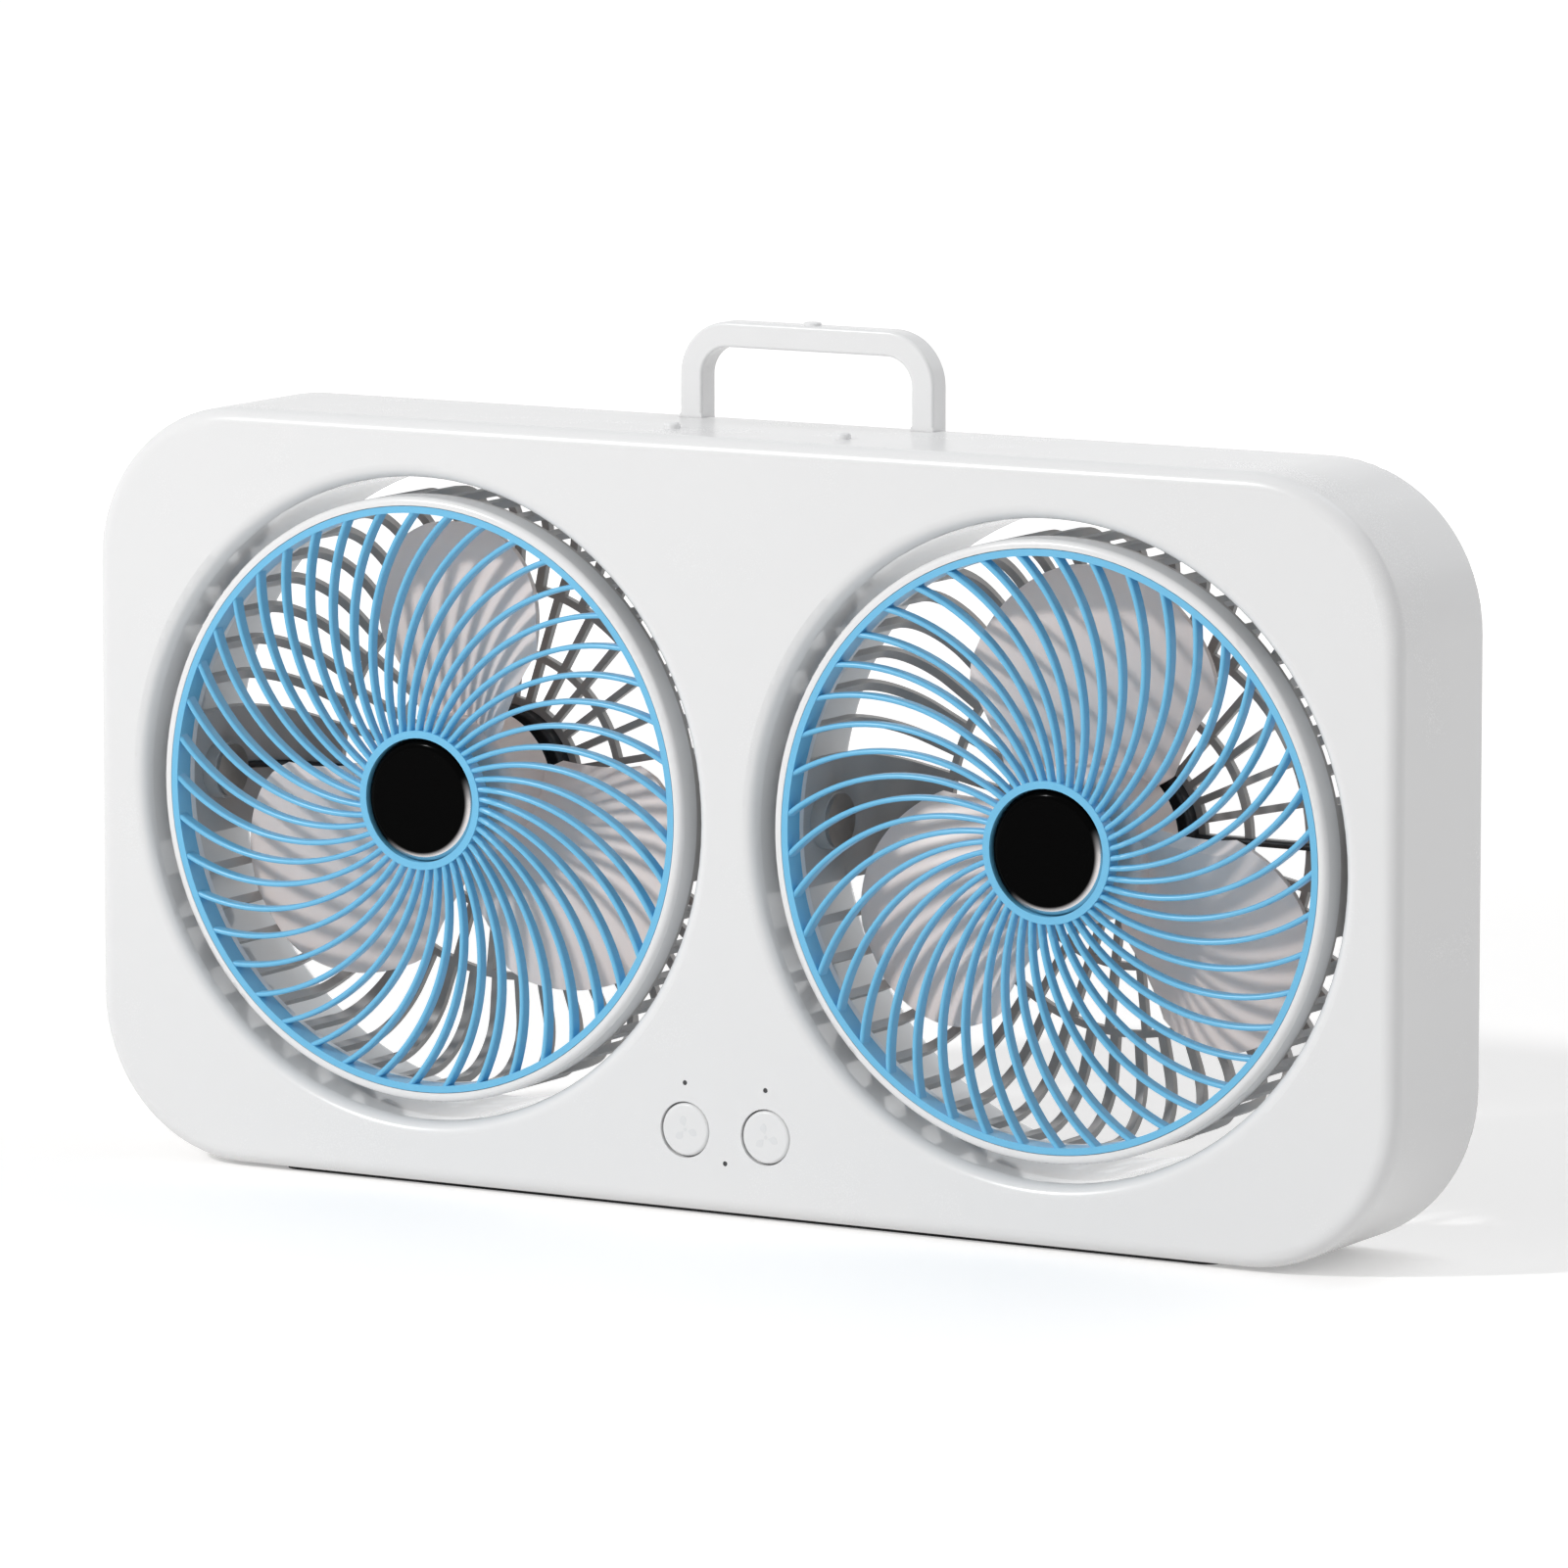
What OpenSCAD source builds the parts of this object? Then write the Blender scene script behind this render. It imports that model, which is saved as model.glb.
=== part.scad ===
// Dual-head desk fan: a slim rounded casing with two tilting fan heads
// Millimetres. X runs left to right, Y front to back, Z up.
// The origin is under the middle of the casing, on the surface that the feet stand on.

/* [Casing] */
// Width of the casing beside each opening
side_band = 14.4; // [12.5:0.1:40]
// Height of the casing above the openings
top_band = 14.4; // [10:0.1:30]
// Height of the casing below the openings
bottom_band = 15.6; // [12:0.1:30]
// Width of the casing between the openings
middle_band = 16.2; // [14:0.1:40]
// Depth of the casing from front to back
body_d = 46; // [45:1:50]
// Radius of the four corners, seen from the front
corner_r = 40.5; // [30:0.5:50]
// Radius of the front edge
front_edge_r = 4; // [3:0.5:5]
// Radius of the rear edge, where the rear cover is parted from the shell
rear_edge_r = 3; // [2.6:0.2:4]
// Thickness of the casing's walls
wall = 2.2; // [1.8:0.1:2.6]

/* [Head openings] */
// Gap between a head and its opening
swing_gap = 4.7; // [3.8:0.1:8]
// Radius of the rolled lip round each opening
lip_r = 3.5; // [2.5:0.25:4]

/* [Fan heads] */
// Outer radius of a head
head_r = 75.3; // [68:0.1:90]
// How far the head's front lies behind the casing's face
head_inset = 1.1; // [0.6:0.1:2]
// How far the head's back lies inside the casing's back
head_back_inset = 2; // [0.6:0.1:4]
// Thickness of the guard's wall
head_wall = 2; // [1.6:0.1:2.4]
// Depth of the white front ring
front_ring_d = 7.3; // [6.8:0.1:8.5]
// Width of the white front ring, up to the grille
front_ring_w = 2.4; // [2.2:0.1:3]
// Radius between the guard's side and its floor
guard_corner_r = 16; // [10:1:18]

/* [Rear guard] */
// Number of places for slots round the side of the guard
side_slots = 48; // [32:8:56]
// Width of the ribs between the side slots
side_rib_w = 2.2; // [1.6:0.1:2.8]
// Solid rim in front of the side slots
guard_rim = 1.2; // [0.8:0.1:3]
// Number of ribs across the floor of the guard
floor_ribs = 30; // [18:6:36]
// Width of the floor ribs and rings
floor_rib_w = 1.8; // [1.4:0.1:2.4]
// Mean radius of the outer floor ring, where the side slots end
outer_ring_r = 49.5; // [46:0.5:52]
// Mean radius of the middle floor ring
middle_ring_r = 33; // [30:0.5:38]
// Width of the floor's plate outside the motor's base
motor_plate_w = 1.9; // [1:0.1:6]

/* [Front grille] */
// Number of spiral ribs
grille_ribs = 45; // [30:1:50]
// Width of a spiral rib
grille_rib_w = 1.3; // [1:0.05:1.6]
// Radius of the arc that each rib follows
rib_arc_r = 55.5; // [52:0.1:60]
// Distance of the arc's centre from the head axis
rib_arc_offset = 54.8; // [52:0.1:58]
// Depth of a rib at the hub
rib_depth_hub = 2.4; // [2:0.1:3.6]
// Depth of a rib at the rim
rib_depth_rim = 3.4; // [2.4:0.1:4.6]
// Depth of the grille's collar
collar_d = 5.8; // [5:0.1:6]
// Width of the collar
collar_w = 1.7; // [1.4:0.1:2]
// Width of the grille's hub ring round the black cap
hub_ring_w = 1.85; // [1.2:0.05:4]
// Radius of the black cap
cap_r = 15.3; // [14:0.1:15.5]
// Radius of the cap's rounded edge
cap_edge_r = 2.4; // [1:0.1:2.6]

/* [Impeller] */
// Gap between the blade tips and the guard's wall
tip_gap = 6.3; // [5.8:0.1:10]
// How far a blade's round outline reaches into the hub
blade_root = 9; // [2:0.5:12]
// How much of a blade's round outline is cut off by the tip circle
blade_trim = 0.5; // [0.2:0.1:3]
// Thickness of a blade
blade_t = 1.6; // [1.2:0.1:2]
// Pitch angle at the middle of a blade
blade_pitch = 18.8; // [10:0.2:20]
// Radius of the saddle surface that twists the blade
blade_twist_r = 105; // [100:5:140]
// Gap between the motor can and the inside of the hub
hub_gap = 1.4; // [0.6:0.1:4]
// Length of the hub
hub_d = 19.4; // [18:0.2:20]
// Distance of the hub's front behind the head's front
hub_setback = 11.4; // [11:0.1:12.5]

/* [Motor] */
// Radius of the motor can
motor_r = 16.5; // [15:0.1:17]
// Width of the motor's base outside the can, which shows behind the hub
motor_base_w = 3.1; // [1:0.1:5]
// Length of the motor can
motor_d = 15.8; // [12:0.2:17]
// Radius of the motor shaft
shaft_r = 1.5; // [1:0.1:2]

/* [Head pivots] */
// Outer radius of the hollow pivot sleeve
pivot_r = 4.5; // [4:0.1:5]
// Radius of the wire hole through the sleeve
pivot_bore_r = 3.1; // [2.5:0.1:3.3]
// Running clearance of the sleeve in its bush
pivot_fit = 0.06; // [0.03:0.01:0.1]
// Wall of the bush
bush_wall = 1.5; // [1.2:0.1:2]

/* [Controls] */
// Distance between the two buttons
button_pitch = 22.7; // [20:0.1:28]
// Height of the buttons above the casing's underside
button_rise = 20.15; // [19.6:0.05:22]
// Radius of a button
button_r = 6.55; // [5:0.05:7]
// Gap round a button
button_gap = 0.4; // [0.3:0.05:0.6]
// How far a button travels
button_travel = 1; // [0.6:0.1:1.2]
// Radius of the indicator lenses
lens_r = 0.6; // [0.5:0.05:1]
// Height of an indicator above the middle of its button
lens_rise = 11.6; // [10.4:0.1:13]
// Height of the lowest indicator above the casing's underside
low_lens_rise = 12.7; // [10.8:0.1:13]

/* [Carry handle] */
// Outer width of the handle
handle_w = 71.4; // [60:0.2:76]
// Height of the handle above the casing
handle_h = 24; // [20:0.5:30]
// Thickness of the handle's bar and legs
handle_t = 6.2; // [5.5:0.1:7]
// Depth of the handle from front to back
handle_d = 7; // [5.5:0.1:8]
// Outer radius of the handle's corners
handle_corner_r = 13.5; // [11:0.5:16]
// Length of the small pip on the bar
pip_l = 4.4; // [3:0.1:6]

/* [Feet and pegs] */
// How far the two rubber strips stand out under the casing
foot_proud = 1; // [0.8:0.1:1.6]
// Width of a rubber strip
foot_w = 9; // [6:0.5:11]
// Distance of a strip's end from the casing's rounded corner
foot_gap = 10; // [1:1:60]
// Distance between the two pegs on the casing's top
peg_pitch = 47.8; // [40:0.2:56]
// Width of a peg
peg_w = 4; // [3:0.1:5]

/* [Battery and boards] */
// Radius of the battery cell
cell_r = 9.2; // [9:0.1:9.3]
// Length of the battery cell
cell_l = 65; // [50:1:66]
// Width of the control board
board_w = 58; // [56:1:60]
// Height of the control board
board_h = 25; // [24:0.5:26]
// Thickness of the boards
board_t = 1.6; // [1:0.1:1.8]
// Height of the charging port above the casing's underside
port_rise = 31; // [29:0.5:33]

/* [Hidden] */

$fn = 96;
cut = 1;
sunk = 0.1;
seat_fit = 0.03;
LEFT = -1;
RIGHT = 1;
SIDES = [LEFT, RIGHT];

// Places of the casing, in the upright frame: x right, y up, z towards the front
opening_r = head_r + swing_gap;
head_x = middle_band / 2 + opening_r;
head_rise = bottom_band + opening_r;
body_w = 2 * (head_x + opening_r + side_band);
body_h = head_rise + opening_r + top_band;
face_z = body_d / 2;
back_z = -body_d / 2;
seam_flank = 0.4;
part_z = back_z + rear_edge_r + seam_flank;
base_y = foot_proud;
mid_y = base_y + body_h / 2;
top_y = base_y + body_h;
head_y = base_y + head_rise;
inside_y = base_y + wall;

// Places of a head along its own axis, zero in the middle of the casing
front_z = face_z - head_inset;
floor_z = back_z + head_back_inset;
ring_back_z = front_z - front_ring_d;
slot_z = ring_back_z - guard_rim;
guard_inner = head_r - head_wall;
ledge_z = front_z - collar_d;
grille_r = head_r - front_ring_w;
ring_gap = 0.15;
ledge_gap = 0.1;
ring_edge_r = 1.6;
ring_spigot_l = 1;
ring_spigot_w = 1.6;
corner_x = head_r - guard_corner_r;
corner_z = floor_z + guard_corner_r;
blank_slots = 3;
blank_turn = blank_slots * 180 / side_slots;

// Grille
rib_pitch = 360 / grille_ribs;
rib_phase = 1.3;
rib_sink = 0.15;
hub_ring_d = 4.4;
hub_floor_t = 1.2;
cap_floor_z = front_z - hub_ring_d + hub_floor_t;
cap_gap = 0.15;
hub_ring_r = cap_r + cap_gap + hub_ring_w;

// Rotor and motor
blades = 3;
blade_phase = 92;
blade_over = 3;
tip_r = guard_inner - tip_gap;
hub_wall = 1.6;
hub_r = motor_r + hub_gap + hub_wall;
// A blade's round outline spans from the hub to the tip circle
blade_r = (tip_r + blade_trim - hub_r + blade_root) / 2;
blade_reach = tip_r + blade_trim - blade_r;
hub_edge_r = 3;
hub_front_z = front_z - hub_setback;
hub_back_z = hub_front_z - hub_d;
blade_mid_z = hub_front_z - hub_d / 2;
motor_back_z = floor_z + head_wall;
motor_front_z = motor_back_z + motor_d;
motor_edge_r = 1.2;
bearing_r = 3.2;
bearing_t = 0.6;
tail_r = 4.6;
tail_gap = 0.2;
motor_base_r = motor_r + motor_base_w;
motor_base_h = 3.8;
motor_plate_r = motor_base_r + motor_plate_w;
shaft_fit = 0.05;
shaft_float = 0.4;
shaft_start_z = motor_back_z + 2;
shaft_end_z = hub_front_z - hub_wall - 0.6;
rotor_boss_r = 4;
rotor_boss_z = motor_front_z + bearing_t + shaft_float;
motor_screw_count = 3;
motor_screw_ring = 9;
motor_screw_phase = 30;
motor_screw_r = 1;
motor_screw_sink = 1;
motor_screw_l = 4.5;

// Pivots, measured from the head axis outwards
boss_depth = 3.7;
boss_inner = guard_inner - boss_depth;
pivot_flange_t = 1;
pivot_flange_r = pivot_r + 2.2;
guard_boss_r = pivot_r + 2.7;
guard_boss_end = head_r + 0.7;
bush_r = pivot_r + pivot_fit + bush_wall;
bush_flange_r = bush_r + 1.2;
bush_flange_t = 1;
bush_seat = opening_r + 0.6;
bush_hole_l = 5;
boss_r = bush_r + 2.4;
boss_end = opening_r + 4;
bush_end = boss_end + 0.2;
washer_gap = 0.3;
washer_r = pivot_r + 2.3;
clip_t = 0.8;
clip_r = pivot_r + 2.2;
clip_groove = 0.6;
clip_start = bush_end + 0.3;
pivot_end = clip_start + clip_t + 0.7;
window_start = boss_inner + 0.6;
window_l = 3.6;
window_gap = 0.4;
window_w = 3;

// Wires
lead_r = 0.9;
lead_lift = 0.05;
lead_z = motor_back_z + lead_r + lead_lift;
lead_bend = corner_z - lead_z;
lead_up_x = corner_x + lead_bend;
elbow_r = 2.2;
casing_lead_gap = 8;
casing_lead_r = opening_r + casing_lead_gap;
casing_lead_in = 2.03;
lead_slack = 0.35;
lead_out = 0.4;

// Screws of the casing
screw_r = 1.4;
screw_hole_r = 1.65;
screw_head_r = 2.7;
screw_head_t = 1.6;
screw_sink = 1.7;
screw_l = 12;
head_gap = 0.2;
cross_l = 1.2;
cross_w = 0.44;
cross_deep = 0.55;
head_edge = 0.4;
handle_screw_l = 16;
post_r = 3.4;
pad_r = 4.6;
corner_post = 21.5;
low_post_gap = 2.7;
low_post_in = 0.6;
top_post_x = 17;
top_post_in = 7;

// Rear cover
spigot_fit = 0.15;
spigot_w = 1.4;
spigot_l = 2;
post_gap = 0.3;

// Handle and pegs
tenon_fit = 0.15;
tenon_l = 12;
handle_edge_r = 0.8;
handle_front_z = back_z + handle_d;
handle_mid_z = back_z + handle_d / 2;
handle_top_y = top_y + handle_h;
leg_x = (handle_w - handle_t) / 2;
tenon_back_z = part_z + 0.2;
handle_screw_y = top_y - wall - tenon_l / 2;
pip_h = 0.8;
peg_h = 1.5;
peg_z = 7.4;
peg_edge_r = 0.8;
peg_stem_r = 1.5;
foot_sink = 0.6;
foot_l = body_w - 2 * (corner_r + foot_gap);
foot_in = 10;
foot_fit = 0.1;

// Buttons, boards, cell and port
button_y = base_y + button_rise;
button_front_z = face_z - 0.1;
button_head_l = wall + 0.2;
button_edge_r = 0.8;
button_flange_r = button_r + 1.5;
button_flange_t = 1;
stem_r = 2;
stem_l = 2.6;
stem_end_z = button_front_z - button_head_l - button_flange_t - stem_l;
switch_gap = 0.3;
switch_t = 2;
plunger_t = 1.4;
plunger_r = 1.7;
switch_w = 6;
board_front_z = stem_end_z - button_travel - switch_gap - switch_t - plunger_t;
board_z = board_front_z - board_t;
board_up = 1.75;
board_y = button_y + board_up;
board_post_r = 2.2;
board_pin_r = 0.9;
board_pin_out = 0.8;
board_post_in = 4;
pipe_r = 1.5;
led_t = 0.7;
chip_w = 8;
chip_t = 1.4;
cell_y = inside_y + cell_r + 0.9;
cell_z = part_z + cell_r + 1.2;
cell_fit = 0.1;
cell_edge_r = 1;
clip_plate_t = 0.8;
clip_plate_w = 14;
clip_dimple = 0.6;
clip_dimple_r = 3;
cradle_t = 2;
cradle_h = 8;
cradle_gap = 0.2;
cell_end = cell_l / 2 + clip_dimple + clip_plate_t + cradle_t;
port_y = base_y + port_rise;
port_w = 9;
port_h = 3.3;
port_d = 7.4;
port_wall = 0.4;
port_fit = 0.25;
plug_x = 17;
plug_y = 3;
plug_w = 6;
plug_h = 5;
plug_t = 4;
tongue_w = 6.6;
tongue_h = 0.7;
port_sink = 0.6;
port_board_w = 18;
port_board_d = 13;
port_board_y = port_y - port_h / 2 - board_t;
shelf_t = 2;

// Places of the casing's screws; the two low ones stand just outside the battery cell
shell_screw_places = [
    for (sx = SIDES, sy = SIDES)
        [sx * (body_w / 2 - corner_post), mid_y + sy * (body_h / 2 - corner_post)],
    for (sx = SIDES) [sx * (cell_end + post_r + low_post_gap), inside_y + post_r + low_post_in],
    for (sx = SIDES) [sx * top_post_x, top_y - wall - post_r - top_post_in]
];

// Colours
CASE = [0.93, 0.93, 0.93];
SKY = [0.48, 0.79, 0.95];
INK = [0.03, 0.03, 0.035];
GUARD_GREY = [0.72, 0.72, 0.72];
ROSE_GREY = [0.8, 0.77, 0.76];
STEEL = [0.66, 0.67, 0.69];
RUBBER = [0.16, 0.16, 0.17];
BOARD = [0.12, 0.36, 0.22];
CELL = [0.2, 0.42, 0.62];
LEAD = [0.1, 0.1, 0.11];
LENS = [0.2, 0.22, 0.24];

// The upright frame: z comes out of the front face
module upright() rotate([90, 0, 0]) children();

// A head's own frame; the right head mirrors the left one
module at_head(side)
    translate([side * head_x, 0, head_y]) rotate([90, 0, 0])
        mirror([side > 0 ? 1 : 0, 0, 0]) children();

// Both pivots of a head: local z runs outwards, local x towards the back
module at_pivot(end) mirror([end > 0 ? 0 : 1, 0, 0]) rotate([0, 90, 0]) children();
module at_pivots() for (end = SIDES) at_pivot(end) children();

// A ring of rectangular section, from radius a to b and from z0 to z1
module band(a, b, z0, z1)
    rotate_extrude() translate([a, z0]) square([b - a, z1 - z0]);

// Half of a slab's section: flat sides, round edges at the front and the back
module slab_half(reach, z0, z1, front_r, rear_r)
    intersection() {
        translate([0, z0]) square([reach, z1 - z0]);
        union() {
            translate([0, z0]) square([reach - rear_r, z1 - z0 - front_r]);
            translate([0, z0 + rear_r]) square([reach - front_r, z1 - z0 - rear_r]);
            translate([0, z0 + rear_r]) square([reach, z1 - z0 - front_r - rear_r]);
            if (front_r > 0) translate([reach - front_r, z1 - front_r]) circle(front_r);
            if (rear_r > 0) translate([reach - rear_r, z0 + rear_r]) circle(rear_r);
        }
    }

// A round body with rounded edges
module puck(r, z0, z1, front_r, rear_r) rotate_extrude() slab_half(r, z0, z1, front_r, rear_r);

// A slab with the casing's outline, drawn in by inset
module slab(inset, z0, z1, front_r, rear_r) {
    w = body_w / 2 - inset;
    h = body_h / 2 - inset;
    r = corner_r - inset;
    translate([0, mid_y, 0]) {
        for (sx = SIDES, sy = SIDES)
            translate([sx * (w - r), sy * (h - r), 0])
                rotate_extrude() slab_half(r, z0, z1, front_r, rear_r);
        for (sx = [0, 1]) mirror([sx, 0, 0])
            rotate([90, 0, 0]) linear_extrude(2 * (h - r), center = true)
                slab_half(w, z0, z1, front_r, rear_r);
        for (sy = [0, 1]) mirror([0, sy, 0])
            rotate([90, 0, 90]) linear_extrude(2 * (w - r), center = true)
                slab_half(h, z0, z1, front_r, rear_r);
    }
}

// A flat outline with round corners
module rounded(w, h, r) {
    square([w - 2 * r, h], center = true);
    square([w, h - 2 * r], center = true);
    for (sx = SIDES, sy = SIDES) translate([sx * (w / 2 - r), sy * (h / 2 - r)]) circle(r);
}

// A long hole's outline with round ends
module obround(l, w) {
    square([l - w, w], center = true);
    for (side = SIDES) translate([side * (l - w) / 2, 0]) circle(d = w);
}

module at_openings()
    for (side = SIDES) translate([side * head_x, head_y, 0]) children();

module at_shell_screws()
    for (p = shell_screw_places) translate([p[0], p[1], 0]) children();

module at_handle_screws()
    for (side = SIDES) translate([side * leg_x, handle_screw_y, 0]) children();

module at_buttons()
    for (side = SIDES) translate([side * button_pitch / 2, button_y, 0]) children();

module at_lenses() {
    for (side = SIDES)
        translate([side * button_pitch / 2, button_y + lens_rise, 0]) children();
    translate([0, base_y + low_lens_rise, 0]) children();
}

module at_feet()
    for (sz = SIDES)
        translate([0, base_y, sz * (body_d / 2 - foot_in)]) rotate([90, 0, 0]) children();

module at_pegs()
    for (side = SIDES) translate([side * peg_pitch / 2, top_y, peg_z]) rotate([-90, 0, 0]) children();

module at_board_posts()
    for (sx = SIDES, sy = SIDES)
        translate([sx * (board_w / 2 - board_post_in), board_y + sy * (board_h / 2 - board_post_in), 0])
            children();

// Space for the handle's tenons in the shell's top wall and the cover's spigot
module tenon_space()
    at_handle_screws()
        translate([-handle_t / 2 - tenon_fit, -tenon_l / 2, part_z - cut])
            cube([handle_t + 2 * tenon_fit, tenon_l + 2 * wall, handle_d - rear_edge_r + cut + tenon_fit]);

// A pan-head screw with its seat at z = 0 and its point at z = l
module pan_screw(r, head_r, head_t, l)
    difference() {
        union() {
            cylinder(r = r, h = l);
            puck(head_r, -head_t, 0, 0, head_t * head_edge);
        }
        for (turn = [0, 90]) rotate(turn)
            translate([-head_r * cross_l / 2, -head_t * cross_w / 2, -head_t - cut])
                cube([head_r * cross_l, head_t * cross_w, cut + head_t * cross_deep]);
    }

module front_shell() color(CASE) upright()
    difference() {
        union() {
            difference() {
                slab(0, part_z, face_z, front_edge_r, 0);
                slab(wall, part_z - cut, face_z - wall, front_edge_r - wall / 2, 0);
                at_openings() cylinder(r = opening_r + lip_r, h = body_d + cut, center = true);
            }
            at_openings() {
                band(opening_r, opening_r + wall, part_z, face_z - lip_r);
                rotate_extrude() translate([opening_r + lip_r, face_z - lip_r]) circle(lip_r);
                at_pivots() translate([0, 0, opening_r]) cylinder(r = boss_r, h = boss_end - opening_r);
            }
            at_shell_screws() translate([0, 0, part_z])
                cylinder(r = post_r, h = face_z - wall / 2 - part_z);
            at_handle_screws() translate([0, 0, handle_front_z + tenon_fit])
                cylinder(r = post_r, h = face_z - wall / 2 - handle_front_z - tenon_fit);
            at_board_posts() {
                translate([0, 0, board_front_z])
                    cylinder(r = board_post_r, h = face_z - wall / 2 - board_front_z);
                translate([0, 0, board_z - board_pin_out])
                    cylinder(r = board_pin_r, h = board_pin_out + board_t + sunk);
            }
        }
        at_openings() at_pivots() {
            translate([0, 0, opening_r - cut]) cylinder(r = bush_r + seat_fit, h = bush_hole_l + cut);
            translate([0, 0, opening_r - 2 * cut])
                cylinder(r = bush_flange_r + sunk, h = bush_seat - opening_r + 2 * cut);
        }
        at_shell_screws() translate([0, 0, part_z - cut]) cylinder(r = screw_r + seat_fit, h = screw_l);
        at_handle_screws() translate([0, 0, part_z]) cylinder(r = screw_r + seat_fit, h = handle_screw_l);
        at_buttons() translate([0, 0, face_z - 2 * wall]) cylinder(r = button_r + button_gap, h = 3 * wall);
        at_lenses() translate([0, 0, face_z - 2 * wall]) cylinder(r = lens_r + seat_fit, h = 3 * wall);
        at_feet() linear_extrude(2 * foot_sink, center = true) obround(foot_l + foot_fit, foot_w + foot_fit);
        at_pegs() cylinder(r = peg_stem_r + seat_fit, h = 3 * wall, center = true);
        tenon_space();
    }

module rear_cover() color(CASE) upright()
    difference() {
        union() {
            difference() {
                slab(0, back_z, part_z, 0, rear_edge_r);
                at_openings() cylinder(r = opening_r + rear_edge_r, h = body_d + 2 * cut, center = true);
                difference() {
                    slab(wall, back_z + wall, part_z + cut, 0, 0);
                    at_openings() cylinder(r = opening_r + 2 * rear_edge_r - sunk, h = body_d, center = true);
                    at_shell_screws() cylinder(r = pad_r, h = body_d, center = true);
                    at_handle_screws() cylinder(r = pad_r, h = body_d, center = true);
                }
            }
            at_openings() rotate_extrude() translate([opening_r, back_z]) {
                intersection() {
                    translate([rear_edge_r, rear_edge_r]) circle(rear_edge_r);
                    square([2 * rear_edge_r, rear_edge_r]);
                }
                translate([0, rear_edge_r]) square([2 * rear_edge_r, seam_flank]);
            }
            difference() {
                slab(wall + spigot_fit, back_z + wall - sunk, part_z + spigot_l, 0, 0);
                slab(wall + spigot_fit + spigot_w, back_z, part_z + 2 * spigot_l, 0, 0);
                at_shell_screws() translate([0, 0, part_z]) cylinder(r = post_r + post_gap, h = 2 * spigot_l);
                tenon_space();
            }
            cell_cradle();
            port_shelf();
        }
        at_shell_screws() cover_screw_hole();
        at_handle_screws() cover_screw_hole();
        translate([0, port_y, back_z - cut]) linear_extrude(wall + 2 * cut)
            obround(port_w + 2 * port_fit, port_h + 2 * port_fit);
    }

// Sunk hole for a casing screw, drawn from the cover's back face
module cover_screw_hole() {
    translate([0, 0, back_z - cut]) cylinder(r = screw_hole_r, h = rear_edge_r + seam_flank + 2 * cut);
    translate([0, 0, back_z - cut]) cylinder(r = screw_head_r + head_gap, h = screw_sink + cut);
}

// Three saddles and two end walls that hold the battery cell
module cell_cradle()
    difference() {
        union() {
            for (i = [-1, 0, 1])
                translate([i * cell_l / 3 - cradle_t / 2, inside_y + cradle_gap, back_z + wall - sunk])
                    cube([cradle_t, 2 * cell_r, cradle_h]);
            for (side = SIDES)
                translate([side * (cell_end - cradle_t / 2) - cradle_t / 2,
                           inside_y + cradle_gap, back_z + wall - sunk])
                    cube([cradle_t, 2 * cell_r, 2 * cradle_h]);
        }
        translate([0, cell_y, cell_z]) rotate([0, 90, 0])
            cylinder(r = cell_r + cell_fit, h = cell_l + 2 * clip_dimple, center = true);
    }

// Shelf with two cheeks under the charging port's board
module port_shelf() {
    w = port_board_w + 2 * shelf_t + 2 * port_fit;
    difference() {
        translate([-w / 2, port_board_y - shelf_t, back_z + wall - sunk])
            cube([w, shelf_t + 2 * board_t, port_board_d]);
        translate([-port_board_w / 2 - port_fit, port_board_y, back_z + wall])
            cube([port_board_w + 2 * port_fit, 3 * board_t, port_board_d + cut]);
    }
}

module shell_screws() color(STEEL) upright()
    at_shell_screws() translate([0, 0, back_z + screw_sink])
        pan_screw(screw_r, screw_head_r, screw_head_t, screw_l - cut);

module handle_screws() color(STEEL) upright()
    at_handle_screws() translate([0, 0, back_z + screw_sink])
        pan_screw(screw_r, screw_head_r, screw_head_t, handle_screw_l);

module rubber_feet() color(RUBBER) upright()
    at_feet() translate([0, 0, -foot_sink]) linear_extrude(foot_sink + foot_proud) obround(foot_l, foot_w);

module carry_handle() color(CASE) upright()
    difference() {
        union() {
            difference() {
                handle_bow();
                translate([0, mid_y, 0]) rotate([90, 0, 90]) linear_extrude(handle_w + 2 * cut, center = true)
                    slab_half(body_h / 2, back_z, face_z, front_edge_r, rear_edge_r);
            }
            at_handle_screws()
                translate([-handle_t / 2, -tenon_l / 2, tenon_back_z])
                    cube([handle_t, tenon_l + wall + cut, handle_front_z - tenon_back_z]);
        }
        at_handle_screws() cylinder(r = screw_hole_r, h = body_d + cut, center = true);
    }

module handle_bow() {
    leg_start = top_y - rear_edge_r - cut;
    leg_len = handle_top_y - handle_corner_r - leg_start;
    for (side = [0, 1]) mirror([side, 0, 0]) {
        translate([leg_x, leg_start, handle_mid_z]) rotate([-90, 0, 0])
            linear_extrude(leg_len) rounded(handle_t, handle_d, handle_edge_r);
        translate([handle_w / 2 - handle_corner_r, handle_top_y - handle_corner_r, handle_mid_z])
            rotate_extrude(angle = 90) translate([handle_corner_r - handle_t / 2, 0])
                rounded(handle_t, handle_d, handle_edge_r);
    }
    translate([0, handle_top_y - handle_t / 2, handle_mid_z]) rotate([0, 90, 0])
        linear_extrude(handle_w - 2 * handle_corner_r, center = true)
            rounded(handle_d, handle_t, handle_edge_r);
    translate([0, handle_top_y - sunk, handle_mid_z]) rotate([-90, 0, 0])
        puck(pip_l / 2, 0, pip_h + sunk, pip_h / 2, 0);
}

module top_pegs() color(CASE) upright()
    at_pegs() {
        puck(peg_w / 2, 0, peg_h, peg_edge_r, 0);
        translate([0, 0, -2 * wall]) cylinder(r = peg_stem_r, h = 2 * wall + sunk);
    }

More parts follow.
